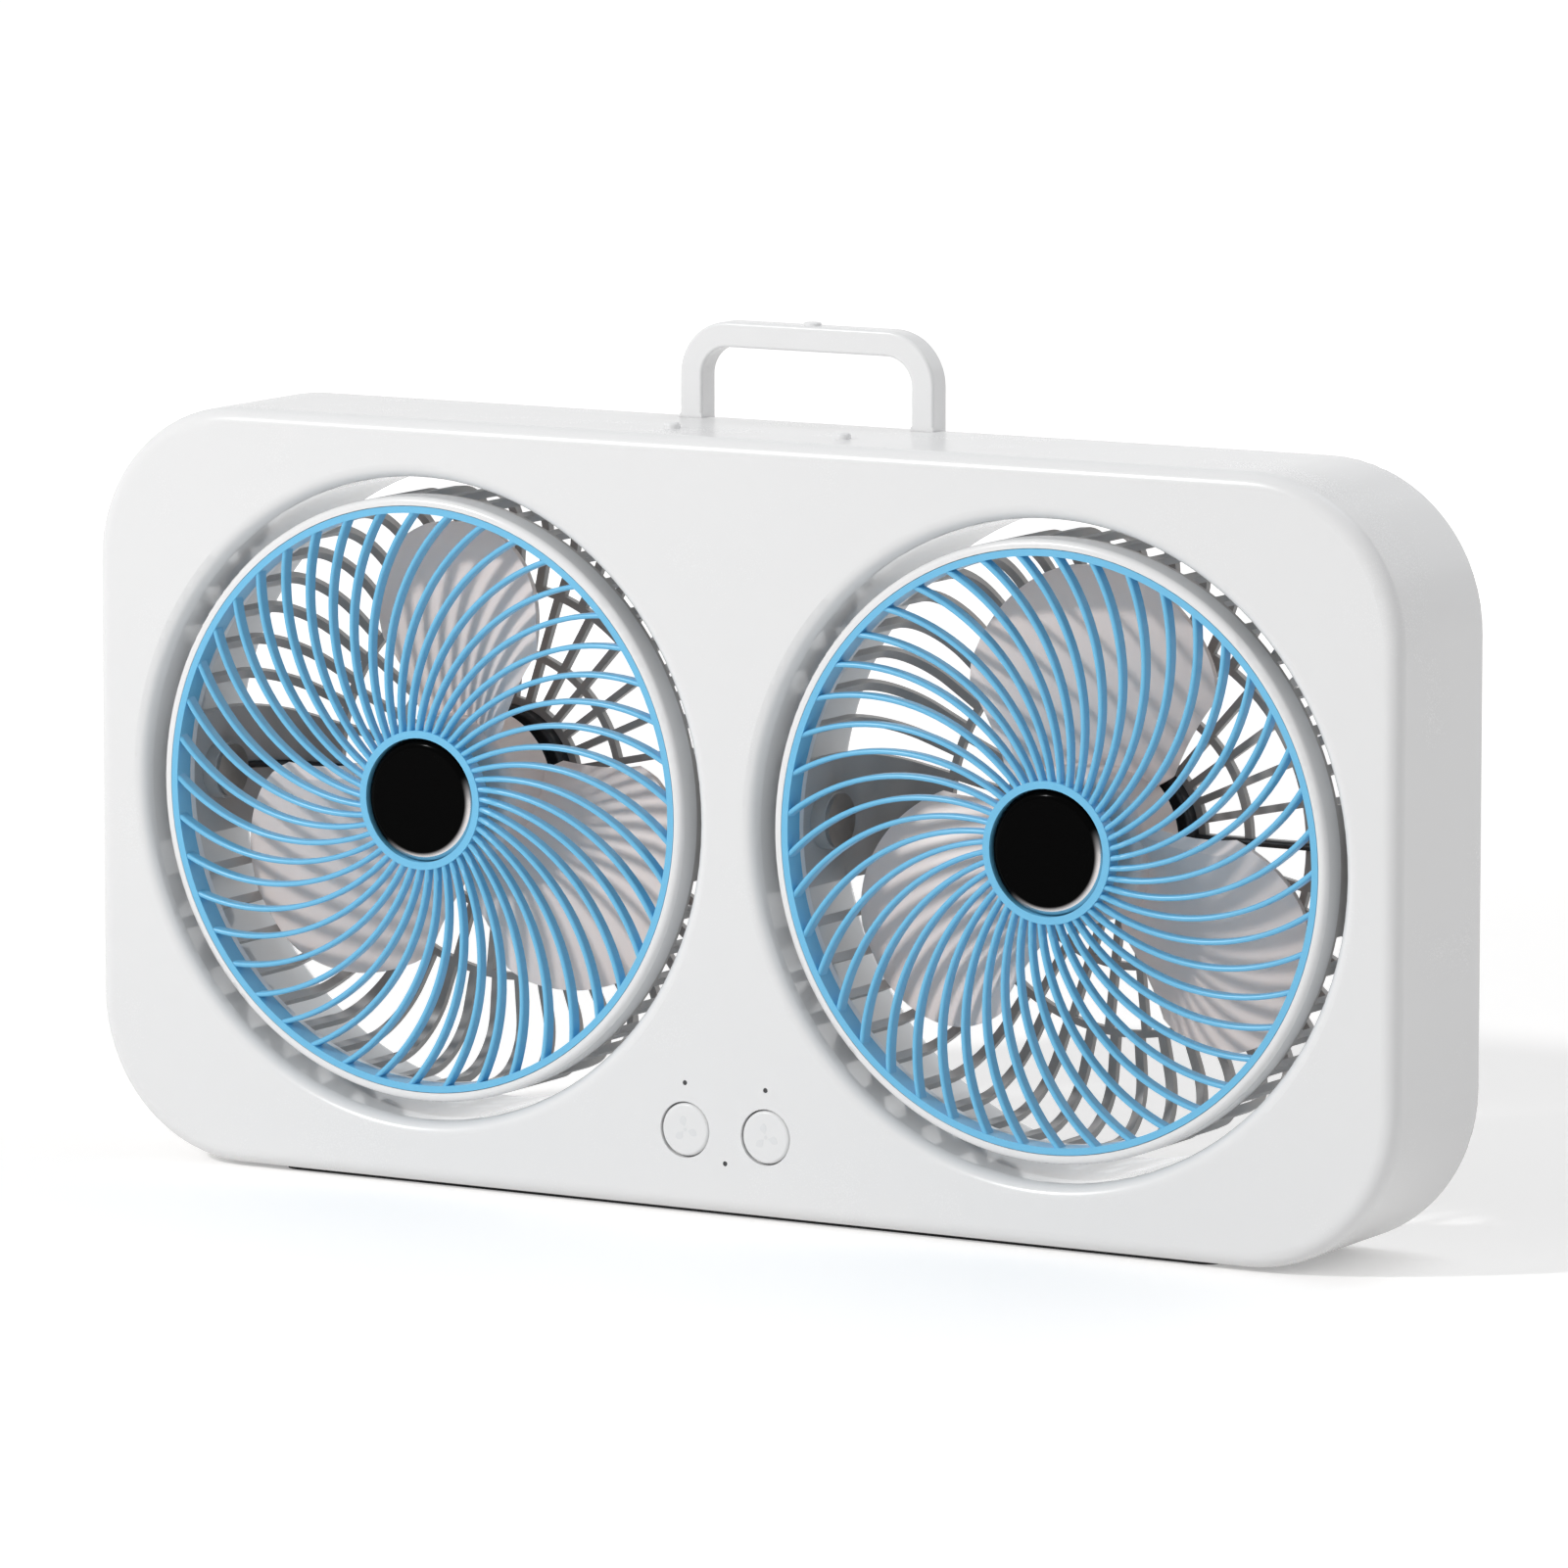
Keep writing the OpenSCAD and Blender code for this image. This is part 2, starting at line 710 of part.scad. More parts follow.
module pivot_bushes() color(INK) upright()
    at_openings() at_pivots() difference() {
        union() {
            translate([0, 0, bush_seat - bush_flange_t]) cylinder(r = bush_flange_r, h = bush_flange_t);
            translate([0, 0, bush_seat - sunk]) cylinder(r = bush_r, h = bush_end - bush_seat + sunk);
        }
        translate([0, 0, opening_r - 2 * cut])
            cylinder(r = pivot_r + pivot_fit, h = 2 * (bush_end - opening_r));
    }

module push_button() color(CASE) {
    puck(button_r, -button_head_l, 0, button_edge_r, 0);
    translate([0, 0, -button_head_l - button_flange_t]) {
        cylinder(r = button_flange_r, h = button_flange_t);
        translate([0, 0, -stem_l]) cylinder(r = stem_r, h = stem_l + sunk);
    }
}

module left_button() upright() translate([-button_pitch / 2, button_y, button_front_z]) push_button();
module right_button() upright() translate([button_pitch / 2, button_y, button_front_z]) push_button();

module button_switches() color(INK) upright()
    at_buttons() translate([0, 0, board_front_z]) {
        translate([-switch_w / 2, -switch_w / 2, 0]) cube([switch_w, switch_w, switch_t]);
        cylinder(r = plunger_r, h = switch_t + plunger_t);
    }

module light_pipes() color(LENS) upright()
    at_lenses() {
        translate([0, 0, face_z - 2 * wall]) cylinder(r = lens_r, h = 2 * wall - sunk / 2);
        translate([0, 0, board_front_z + led_t + sunk])
            cylinder(r = pipe_r, h = face_z - wall - sunk - board_front_z - led_t - sunk);
    }

module control_board() color(BOARD) upright()
    difference() {
        union() {
            translate([-board_w / 2, board_y - board_h / 2, board_z]) cube([board_w, board_h, board_t]);
            at_lenses() translate([-led_t, -led_t, board_front_z - sunk])
                cube([2 * led_t, 2 * led_t, led_t + sunk]);
            translate([-chip_w / 2, board_y - chip_w / 2, board_z - chip_t])
                cube([chip_w, chip_w, chip_t + sunk]);
            for (side = SIDES)
                translate([side * plug_x - plug_w / 2, board_y + plug_y, board_z - plug_t])
                    cube([plug_w, plug_h, plug_t + sunk]);
        }
        at_board_posts() translate([0, 0, board_z - cut])
            cylinder(r = board_pin_r + seat_fit, h = board_t + 2 * cut);
    }

module battery_cell() color(CELL) upright()
    translate([0, cell_y, cell_z]) rotate([0, 90, 0])
        puck(cell_r, -cell_l / 2, cell_l / 2, cell_edge_r, cell_edge_r);

module battery_clips() color(STEEL) upright()
    for (side = [0, 1]) mirror([side, 0, 0]) translate([cell_l / 2, cell_y, cell_z]) {
        rotate([0, 90, 0]) cylinder(r = clip_dimple_r, h = clip_dimple + sunk);
        translate([clip_dimple, -clip_plate_w / 2, back_z + wall - cell_z])
            cube([clip_plate_t, clip_plate_w, 2 * cradle_h]);
    }

module charge_port() color(STEEL) upright()
    translate([0, port_y, back_z + port_sink]) {
        difference() {
            linear_extrude(port_d) obround(port_w, port_h);
            translate([0, 0, -cut]) linear_extrude(port_d)
                obround(port_w - 2 * port_wall, port_h - 2 * port_wall);
        }
        translate([-tongue_w / 2, -tongue_h / 2, port_sink])
            cube([tongue_w, tongue_h, port_d - 2 * port_sink]);
    }

module port_board() color(BOARD) upright()
    translate([-port_board_w / 2, port_board_y, back_z + wall + port_fit])
        cube([port_board_w, board_t, port_board_d]);

// Each lead curves from an outer pivot round the opening to the back of the control board
module casing_leads() color(LEAD) upright() {
    rise = board_z - lead_r - lead_slack;
    sweep = acos((board_w / 2 - casing_lead_in - head_x) / casing_lead_r);
    tilt = asin(rise / (casing_lead_r * sin(sweep)));
    for (side = [0, 1]) mirror([side, 0, 0]) translate([head_x, head_y, 0])
        rotate([-tilt, 0, 0]) rotate(-sweep) rotate_extrude(angle = sweep)
            translate([casing_lead_r, 0]) circle(lead_r);
}

module front_ring() color(CASE)
    rotate_extrude() {
        inner = grille_r + ring_gap;
        intersection() {
            translate([inner, ring_back_z]) square([head_r - inner, front_ring_d]);
            union() {
                translate([inner, ring_back_z]) square([head_r - inner, front_ring_d - ring_edge_r]);
                translate([inner, ring_back_z]) square([head_r - inner - ring_edge_r, front_ring_d]);
                translate([head_r - ring_edge_r, front_z - ring_edge_r]) circle(ring_edge_r);
            }
        }
        translate([grille_r - collar_w, ring_back_z])
            square([collar_w + 2 * ring_gap, ledge_z - ledge_gap - ring_back_z]);
        translate([guard_inner - ring_gap - ring_spigot_w, ring_back_z - ring_spigot_l])
            square([ring_spigot_w, ring_spigot_l + sunk]);
    }

// Angle on a rib's arc, seen from the arc's centre, at which it is r from the head axis
function rib_turn(r) =
    acos((r * r - pow(rib_arc_offset, 2) - pow(rib_arc_r, 2)) / (2 * rib_arc_offset * rib_arc_r));

// One spiral rib: a round-fronted section swept along a circular arc
module spiral_rib() {
    outer = rib_turn(grille_r - collar_w / 2);
    inner = rib_turn((cap_r + cap_gap + hub_ring_r) / 2);
    translate([rib_arc_offset, 0, front_z - rib_sink]) rotate(outer) rotate_extrude(angle = inner - outer)
        translate([rib_arc_r, 0]) {
            translate([-grille_rib_w / 2, -rib_depth_rim])
                square([grille_rib_w, rib_depth_rim - grille_rib_w / 2]);
            translate([0, -grille_rib_w / 2]) circle(grille_rib_w / 2);
        }
}

module grille() color(SKY) {
    band(grille_r - collar_w, grille_r, ledge_z, front_z);
    difference() {
        translate([0, 0, front_z - hub_ring_d]) cylinder(r = hub_ring_r, h = hub_ring_d);
        translate([0, 0, cap_floor_z]) cylinder(r = cap_r + cap_gap, h = hub_ring_d);
    }
    difference() {
        for (i = [0 : grille_ribs - 1]) rotate(rib_phase + i * rib_pitch) spiral_rib();
        rotate_extrude() polygon([
            [0, front_z - rib_depth_hub], [hub_ring_r, front_z - rib_depth_hub],
            [grille_r, front_z - rib_depth_rim], [grille_r, front_z - 2 * rib_depth_rim],
            [0, front_z - 2 * rib_depth_rim]
        ]);
    }
}

module hub_cap() color(INK)
    puck(cap_r, cap_floor_z, front_z - sunk, cap_edge_r, 0);

// Flat outline of the slots round the side, which reach in to the outer floor ring
module side_slot_outline()
    difference() {
        circle(head_r + cut);
        circle(outer_ring_r + floor_rib_w / 2);
        for (i = [0 : side_slots - 1]) rotate((i + 0.5) * 360 / side_slots)
            translate([0, -side_rib_w / 2]) square([head_r + 2 * cut, side_rib_w]);
        for (end = [0, 180]) rotate(end)
            polygon([[0, 0], for (side = SIDES) 2 * head_r * [cos(blank_turn), side * sin(blank_turn)]]);
    }

// Flat outline of the openings between the floor's ribs and rings
module floor_slot_outline()
    difference() {
        circle(outer_ring_r - floor_rib_w / 2);
        difference() {
            circle(middle_ring_r + floor_rib_w / 2);
            circle(middle_ring_r - floor_rib_w / 2);
        }
        circle(motor_plate_r);
        for (i = [0 : floor_ribs - 1]) rotate(i * 360 / floor_ribs)
            translate([0, -floor_rib_w / 2]) square([outer_ring_r, floor_rib_w]);
    }

module at_motor_screws()
    for (i = [0 : motor_screw_count - 1]) rotate(motor_screw_phase + i * 360 / motor_screw_count)
        translate([motor_screw_ring, 0, 0]) children();

module guard() color(GUARD_GREY)
    difference() {
        union() {
            rotate_extrude() {
                translate([0, floor_z]) square([corner_x, head_wall]);
                translate([guard_inner, corner_z]) square([head_wall, ring_back_z - corner_z]);
                translate([corner_x, corner_z]) intersection() {
                    difference() {
                        circle(guard_corner_r);
                        circle(guard_corner_r - head_wall);
                    }
                    translate([0, -guard_corner_r]) square(guard_corner_r);
                }
            }
            at_pivots() translate([0, 0, boss_inner])
                cylinder(r = guard_boss_r, h = guard_boss_end - boss_inner);
        }
        translate([0, 0, floor_z - cut]) linear_extrude(slot_z - floor_z + cut) side_slot_outline();
        translate([0, 0, floor_z - cut]) linear_extrude(head_wall + 2 * cut) floor_slot_outline();
        translate([0, 0, floor_z - cut]) cylinder(r = tail_r + tail_gap, h = head_wall + 2 * cut);
        at_motor_screws() {
            translate([0, 0, floor_z - cut]) cylinder(r = motor_screw_r + head_gap, h = head_wall + 2 * cut);
            translate([0, 0, floor_z - cut])
                cylinder(r = 2 * motor_screw_r + head_gap, h = motor_screw_sink + cut);
        }
        at_pivots() translate([0, 0, boss_inner - cut])
            cylinder(r = pivot_r + seat_fit, h = 3 * guard_boss_r);
        at_pivot(LEFT) translate([pivot_bore_r, -window_w / 2, window_start])
            cube([pivot_r, window_w, window_l - window_gap]);
    }

module motor() color(INK)
    difference() {
        union() {
            puck(motor_r, motor_back_z, motor_front_z, motor_edge_r, 0);
            puck(motor_base_r, motor_back_z, motor_back_z + motor_base_h, motor_edge_r, 0);
            translate([0, 0, motor_front_z - sunk]) cylinder(r = bearing_r, h = bearing_t + sunk);
            translate([0, 0, floor_z + sunk]) cylinder(r = tail_r, h = head_wall);
        }
        translate([0, 0, shaft_start_z - shaft_float]) cylinder(r = shaft_r + shaft_fit, h = 2 * motor_d);
        at_motor_screws() translate([0, 0, motor_back_z - cut])
            cylinder(r = motor_screw_r + seat_fit, h = motor_screw_l);
    }

module motor_screws() color(STEEL)
    at_motor_screws() translate([0, 0, floor_z + motor_screw_sink])
        pan_screw(motor_screw_r, 2 * motor_screw_r, motor_screw_sink, motor_screw_l - cut);

// The lead lies on the guard's floor, climbs its corner and leaves through the hollow outer pivot
module motor_lead() color(LEAD) mirror([1, 0, 0]) {
    translate([motor_base_r, 0, lead_z]) rotate([0, 90, 0]) cylinder(r = lead_r, h = corner_x - motor_base_r);
    translate([corner_x, 0, corner_z]) rotate([90, 0, 0]) rotate(-90) rotate_extrude(angle = 90)
        translate([lead_bend, 0]) circle(lead_r);
    translate([lead_up_x, 0, corner_z]) cylinder(r = lead_r, h = -elbow_r - corner_z);
    translate([lead_up_x + elbow_r, 0, -elbow_r]) rotate([90, 0, 0]) rotate(90) rotate_extrude(angle = 90)
        translate([elbow_r, 0]) circle(lead_r);
    translate([lead_up_x + elbow_r, 0, 0]) rotate([0, 90, 0])
        cylinder(r = lead_r, h = pivot_end + lead_out - lead_up_x - elbow_r);
}

// Hollow pivot sleeves; the window in the outer one lets the motor lead in
module pivots() color(STEEL)
    at_pivots() difference() {
        union() {
            translate([0, 0, boss_inner - pivot_flange_t]) cylinder(r = pivot_flange_r, h = pivot_flange_t);
            translate([0, 0, boss_inner - sunk]) cylinder(r = pivot_r, h = pivot_end - boss_inner + sunk);
        }
        translate([0, 0, window_start]) cylinder(r = pivot_bore_r, h = pivot_end);
        translate([0, -window_w / 2, window_start]) cube([2 * pivot_r, window_w, window_l]);
        difference() {
            translate([0, 0, clip_start]) cylinder(r = 2 * pivot_r, h = clip_t + 2 * seat_fit);
            cylinder(r = pivot_r - clip_groove, h = 2 * pivot_end);
        }
    }

module pivot_washers() color(RUBBER)
    at_pivots() band(pivot_r + sunk, washer_r, guard_boss_end, bush_seat - bush_flange_t - washer_gap);

module pivot_clips() color(STEEL)
    at_pivots() translate([0, 0, clip_start + seat_fit]) difference() {
        cylinder(r = clip_r, h = clip_t);
        translate([0, 0, -cut]) cylinder(r = pivot_r - clip_groove + seat_fit, h = clip_t + 2 * cut);
        translate([0, -pivot_r / 2, -cut]) cube([2 * clip_r, pivot_r, clip_t + 2 * cut]);
    }

// One blade: a saddle-shaped sheet, pitched, then trimmed to its round outline
module blade()
    intersection() {
        translate([blade_reach, 0, blade_mid_z]) rotate([-blade_pitch, 0, 0]) rotate(45)
            translate([0, 0, blade_twist_r]) rotate([90, 0, 0]) rotate_extrude()
                intersection() {
                    translate([2 * blade_twist_r, 0]) difference() {
                        circle(blade_twist_r + blade_t / 2);
                        circle(blade_twist_r - blade_t / 2);
                    }
                    translate([blade_twist_r / 2, -blade_r - blade_over])
                        square([blade_twist_r, 2 * (blade_r + blade_over)]);
                }
        translate([blade_reach, 0, blade_mid_z]) cylinder(r = blade_r, h = hub_d, center = true);
        band(hub_r - hub_wall / 2, tip_r, hub_back_z, hub_front_z);
    }

module impeller() color(ROSE_GREY) {
    difference() {
        puck(hub_r, hub_back_z, hub_front_z, hub_edge_r, 0);
        puck(hub_r - hub_wall, hub_back_z - cut, hub_front_z - hub_wall, hub_edge_r - hub_wall / 2, 0);
    }
    difference() {
        translate([0, 0, rotor_boss_z])
            cylinder(r = rotor_boss_r, h = hub_front_z - hub_wall / 2 - rotor_boss_z);
        translate([0, 0, rotor_boss_z - cut])
            cylinder(r = shaft_r + seat_fit, h = shaft_end_z - rotor_boss_z + cut + shaft_float);
    }
    for (i = [0 : blades - 1]) rotate(blade_phase + i * 360 / blades) blade();
}

module motor_shaft() color(STEEL)
    translate([0, 0, shaft_start_z]) cylinder(r = shaft_r, h = shaft_end_z - shaft_start_z);

module left_front_ring() at_head(LEFT) front_ring();
module left_grille() at_head(LEFT) grille();
module left_hub_cap() at_head(LEFT) hub_cap();
module left_guard() at_head(LEFT) guard();
module left_motor() at_head(LEFT) motor();
module left_motor_screws() at_head(LEFT) motor_screws();
module left_motor_lead() at_head(LEFT) motor_lead();
module left_pivots() at_head(LEFT) pivots();
module left_pivot_washers() at_head(LEFT) pivot_washers();
module left_pivot_clips() at_head(LEFT) pivot_clips();
module left_impeller() at_head(LEFT) impeller();
module left_motor_shaft() at_head(LEFT) motor_shaft();
module right_front_ring() at_head(RIGHT) front_ring();
module right_grille() at_head(RIGHT) grille();
module right_hub_cap() at_head(RIGHT) hub_cap();
module right_guard() at_head(RIGHT) guard();
module right_motor() at_head(RIGHT) motor();
module right_motor_screws() at_head(RIGHT) motor_screws();
module right_motor_lead() at_head(RIGHT) motor_lead();
module right_pivots() at_head(RIGHT) pivots();
module right_pivot_washers() at_head(RIGHT) pivot_washers();
module right_pivot_clips() at_head(RIGHT) pivot_clips();
module right_impeller() at_head(RIGHT) impeller();
module right_motor_shaft() at_head(RIGHT) motor_shaft();

front_shell();
rear_cover();
shell_screws();
rubber_feet();
carry_handle();
handle_screws();
top_pegs();
pivot_bushes();
left_button();
right_button();
button_switches();
light_pipes();
control_board();
battery_cell();
battery_clips();
charge_port();
port_board();
casing_leads();
left_front_ring();
left_grille();
left_hub_cap();
left_guard();
left_motor();
left_motor_screws();
left_motor_lead();
left_pivots();
left_pivot_washers();
left_pivot_clips();
left_impeller();
left_motor_shaft();
right_front_ring();
right_grille();
right_hub_cap();
right_guard();
right_motor();
right_motor_screws();
right_motor_lead();
right_pivots();
right_pivot_washers();
right_pivot_clips();
right_impeller();
right_motor_shaft();
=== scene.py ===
"""Looks of a dual-head desk fan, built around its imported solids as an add-on that is run as a script."""

import math

import bmesh
import bpy
from bpy.props import FloatProperty, FloatVectorProperty, IntProperty, PointerProperty
from bpy.types import Operator, Panel, PropertyGroup
from mathutils import Matrix, Vector


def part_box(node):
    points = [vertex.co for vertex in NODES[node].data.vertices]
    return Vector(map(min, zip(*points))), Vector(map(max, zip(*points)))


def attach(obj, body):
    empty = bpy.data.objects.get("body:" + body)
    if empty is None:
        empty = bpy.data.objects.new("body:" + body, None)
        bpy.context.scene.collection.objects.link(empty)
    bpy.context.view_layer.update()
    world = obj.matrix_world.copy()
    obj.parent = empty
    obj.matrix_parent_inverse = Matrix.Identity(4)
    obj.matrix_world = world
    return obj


bl_info = {
    "name": "Dual-head desk fan",
    "version": (1, 0, 0),
    "blender": (4, 5, 0),
    "location": "3D View > Sidebar > Desk fan",
    "description": "Finishes, prints and studio of a dual-head desk fan",
    "category": "Object",
}

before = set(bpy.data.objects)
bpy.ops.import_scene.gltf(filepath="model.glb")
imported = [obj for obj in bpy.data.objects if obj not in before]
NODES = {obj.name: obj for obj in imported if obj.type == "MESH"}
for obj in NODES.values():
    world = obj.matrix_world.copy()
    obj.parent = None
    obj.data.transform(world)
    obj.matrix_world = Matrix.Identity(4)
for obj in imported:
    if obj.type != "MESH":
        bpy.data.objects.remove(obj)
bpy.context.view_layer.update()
SIDES = ("left", "right")
MM = 0.001

# Where a finish changes: distances from the edge of the front ring (the opening walls with painted shade),
# hub cap (its rim, which carries a painted highlight), guard (its floor with painted shade) and cell
WALL_START = 5 * MM
WALL_END = 7 * MM
CAP_RIM_START = 2.3 * MM
CAP_RIM_END = 1.0 * MM
GUARD_SHADE_START = 9 * MM
GUARD_SHADE_FULL = 3 * MM
CELL_WRAP_END = 1.4 * MM
CELL_METAL_START = 1.1 * MM

# The painted highlight on a cap's rim: the direction to its lower-right corner, and distances that way from
# the axis
HIGHLIGHT_RIGHT, HIGHLIGHT_DOWN = 0.6, 0.8
HIGHLIGHT_START, HIGHLIGHT_END = 2 * MM, 11 * MM

# Patterns in the finishes
TRACK_PITCH = 1.9 * MM
FOOT_RIB_PITCH = 1.6 * MM

# The fan sign: shares of its reach, and the bows of a blade's two edges in radians
SIGN_STEPS = 14
SIGN_HUB_POINTS = 20
SIGN_HUB = 0.13
SIGN_ROOT = 0.2
SIGN_TURN = math.radians(92)
LEADING_EDGE, LEADING_BOW = 0.12, 0.55
TRAILING_EDGE, TRAILING_BOW = 0.1, 0.28
LEADING_FULLNESS = 0.8

# Metals and rubbers that are hidden, or show only as small parts
SHAFT_STEEL = (0.56, 0.57, 0.58)
PIVOT_STEEL = (0.46, 0.45, 0.44)
SCREW_ZINC = (0.53, 0.54, 0.56)
NICKEL = (0.62, 0.6, 0.55)
CELL_STEEL = (0.6, 0.6, 0.58)
WASHER_RUBBER = (0.035, 0.035, 0.037)
FOOT_RUBBER = (0.03, 0.03, 0.032)

# The camera that was fitted to the photograph: metres, degrees and millimetres of lens
CAMERA_PLACE = (1.30305, -2.23868, 0.472)
CAMERA_DOWN = 8.08
CAMERA_TURN = 30.14
CAMERA_LENS = 246.06
SENSOR_W = 36
CLIP_NEAR, CLIP_FAR = 0.1, 30

# The studio, in metres
FLOOR_REACH = 6.0
FLOOR_SHARES = (-1, -0.5, 0, 0.5, 1)
BEND_START = 2.2
BEND_R = 1.5
BEND_STEPS = 12
WALL_TOP = 4.0
GLOW_START, GLOW_END = 0.3, 1.4
NEAR_GLOW, FAR_GLOW = 0.3, 0.6
LAMP_AIM = Vector((0, 0, 0.1))
SKY_TONE, SKY_STRENGTH = (0.985, 0.99, 1), 0.43


def middle(node):
    """Middle of a CAD node's box."""
    low, high = (Vector(corner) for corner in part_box(node))
    return (low + high) / 2


def radius(node):
    """Half the width of a round CAD node."""
    low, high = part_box(node)
    return (high[0] - low[0]) / 2


# Sizes and colours that a user would change


class FanSizes(PropertyGroup):
    sign_d: FloatProperty(
        name="Button sign", description="Width of the fan sign on a button",
        default=7.0 * MM, min=3 * MM, max=9 * MM, unit="LENGTH",
    )
    sign_blades: IntProperty(
        name="Sign blades", description="Blades in the fan sign on a button", default=3, min=3, max=5,
    )
    print_t: FloatProperty(
        name="Print thickness", description="How far a print stands on its surface",
        default=0.03 * MM, min=0.01 * MM, max=0.2 * MM, unit="LENGTH",
    )
    grain: FloatProperty(
        name="Mould grain", description="Size of the fine grain on moulded faces",
        default=0.35 * MM, min=0.1 * MM, max=2 * MM, unit="LENGTH",
    )


def colour(name, description, default):
    """One colour of the panel."""
    return FloatVectorProperty(
        name=name, description=description, default=default, min=0, max=1, size=3, subtype="COLOR",
    )


class FanColours(PropertyGroup):
    case: colour("Casing", "White of the casing, handle and buttons", (0.86, 0.86, 0.86))
    # The opening wall colour is painted shade with a painted bluish reflection, laid on the casing's own
    # white plastic inside the openings.
    shaded_wall: colour("Opening wall", "Pale grey of the glossy walls inside the openings", (0.72, 0.745, 0.765))
    guard: colour("Rear guard", "Pale grey of the slotted guards", (0.52, 0.5, 0.485))
    grille: colour("Grille", "Sky blue of the spiral grilles", (0.17, 0.55, 0.84))
    impeller: colour("Impeller", "Milky rose grey of the blades", (1.0, 0.805, 0.735))
    cap: colour("Hub cap", "Gloss black of the hub caps", (0.001, 0.001, 0.001))
    # The cap edge colour is a painted highlight on the lower-right rim of the hub caps, not a polished
    # edge.
    cap_highlight: colour("Cap edge", "Polished edge at the lower right of the hub caps", (0.8, 0.76, 0.75))
    motor: colour("Motor", "Black coating of the motor cans", (0.02, 0.02, 0.022))
    sign: colour("Sign", "Grey of the signs on the buttons", (0.8, 0.805, 0.81))


# Shader maths as Python expressions


class Term:
    """A socket that takes part in Python expressions: each operator adds its Math node."""

    def __init__(self, nodes, socket):
        self.nodes, self.socket = nodes, socket

    def maths(self, operation, *others):
        return self.nodes.add("ShaderNodeMath", {"operation": operation}, self, *others)

    def __add__(self, other):
        return self.maths("ADD", other)

    __radd__ = __add__

    def __mul__(self, other):
        return self.maths("MULTIPLY", other)

    __rmul__ = __mul__

    def __sub__(self, other):
        return self.maths("SUBTRACT", other)

    def __rsub__(self, other):
        return self.nodes.add("ShaderNodeMath", {"operation": "SUBTRACT"}, other, self)

    def __pow__(self, other):
        return self.maths("POWER", other)

    def __abs__(self):
        return self.maths("ABSOLUTE")

    def __gt__(self, other):
        return self.maths("GREATER_THAN", other)

    def clamp(self):
        """Held between 0 and 1."""
        return self.nodes.add("ShaderNodeClamp", {}, self)

    def waves(self, pitch):
        """A sine along this length, from -1 to 1, that repeats after each pitch."""
        return (self * (math.tau / pitch)).maths("SINE")

    def smooth(self, low, high):
        """0 below low, 1 above high, and a soft step between."""
        return self.nodes.add(
            "ShaderNodeMapRange", {"interpolation_type": "SMOOTHSTEP"}, self, low, high, 0.0, 1.0
        )


class Nodes:
    """A node tree whose nodes are all added through one method."""

    def __init__(self, tree):
        self.tree = tree
        tree.nodes.clear()

    def fill(self, node, key, value):
        """Links a term to a socket, or sets the socket: one number fills all of a colour or vector."""
        socket = node.inputs[key]
        if isinstance(value, Term):
            self.tree.links.new(value.socket, socket)
        elif hasattr(socket.default_value, "__len__") and not hasattr(value, "__len__"):
            socket.default_value = (value,) * len(socket.default_value)
        elif hasattr(value, "__len__") and len(value) == 3 and socket.type == "RGBA":
            socket.default_value = (*value, 1)
        else:
            socket.default_value = value

    def add(self, kind, settings, *values, out=0, sockets=None, **named):
        """Adds a node: its settings first, then the values or links of its sockets."""
        node = self.tree.nodes.new(kind)
        for key, value in settings.items():
            setattr(node, key, value)
        spaced = {key.replace("_", " "): value for key, value in named.items()}
        for key, value in (dict(enumerate(values)) | spaced | (sockets or {})).items():
            self.fill(node, key, value)
        return Term(self, node.outputs[out]) if node.outputs else None

    def outputs(self, kind, *values):
        """A new node's outputs by name, as terms."""
        node = self.add(kind, {}, *values).socket.node
        return {socket.name: Term(self, socket) for socket in node.outputs}

    def seen(self):
        """1 for rays from the camera and for those that reflections and clear parts send on."""
        rays = self.outputs("ShaderNodeLightPath")
        seen = rays["Is Camera Ray"]
        for kind in ("Is Glossy Ray", "Is Transmission Ray"):
            seen = seen.maths("MAXIMUM", rays[kind])
        return seen


